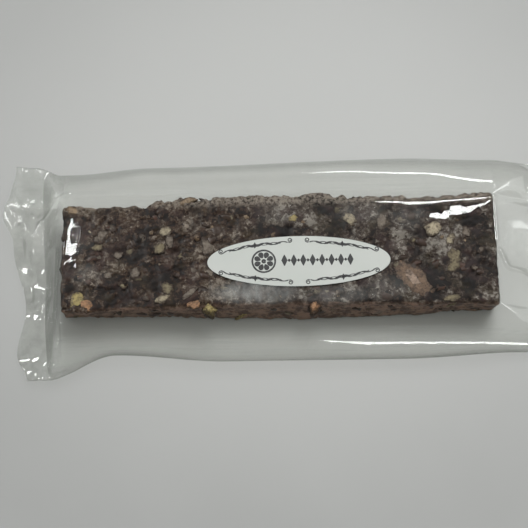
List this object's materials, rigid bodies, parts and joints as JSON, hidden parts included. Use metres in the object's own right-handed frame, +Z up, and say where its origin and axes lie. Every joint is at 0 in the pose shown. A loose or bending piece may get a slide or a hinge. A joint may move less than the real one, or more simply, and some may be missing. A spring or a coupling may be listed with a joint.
{
  "type": "wrapped date bar",
  "caption": "Pressed bar of dates, nuts and oats, sealed in a clear film pouch with flat end seals and an oval paper label on top.",
  "frame": {"origin": "middle of the underside of the pouch, on the surface that it lies on", "axes": "+X along the bar, +Y to the back fold of the pouch, +Z up out of the labelled side"},
  "size_m": [0.161, 0.063, 0.0127],
  "materials": {
    "film_over_bar": "clear glossy film over a dark fruit bar",
    "label_paper": "smooth white label paper",
    "clear_film": "clear glossy film",
    "date_paste": "sticky dark brown chopped dates",
    "nut_pieces": "broken pale nuts",
    "oat_flakes": "matt pale oat flakes",
    "fruit_bits": "shiny dark date skin",
    "label_ink": "matt black print"
  },
  "bodies": {
    "root": {"pouch": "film_over_bar", "label": "label_paper"}
  },
  "joints": []
}
